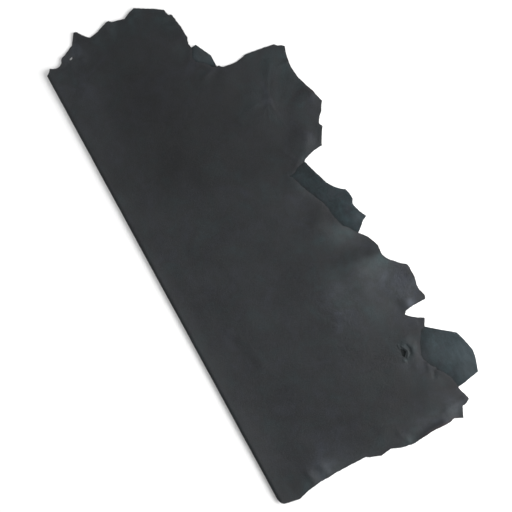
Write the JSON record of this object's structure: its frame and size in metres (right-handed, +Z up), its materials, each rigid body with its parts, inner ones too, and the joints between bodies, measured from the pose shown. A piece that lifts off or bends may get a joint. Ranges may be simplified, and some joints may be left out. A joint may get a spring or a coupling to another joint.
{
  "type": "leather hide",
  "caption": "Whole tanned calf hide with an uneven cut edge, folded once along the backbone and lying flat, grain side out.",
  "frame": {"origin": "middle of the footprint, on the surface that the hide lies on", "axes": "+Y along the fold towards the neck, +X from the fold out to the legs, +Z up"},
  "size_m": [0.6556, 1.413, 0.0155],
  "materials": {
    "blue_black_leather": "full grain, blue-black, soft semi-matt sheen, rough flesh side"
  },
  "bodies": {
    "root": {"hide": "blue_black_leather"}
  },
  "joints": []
}
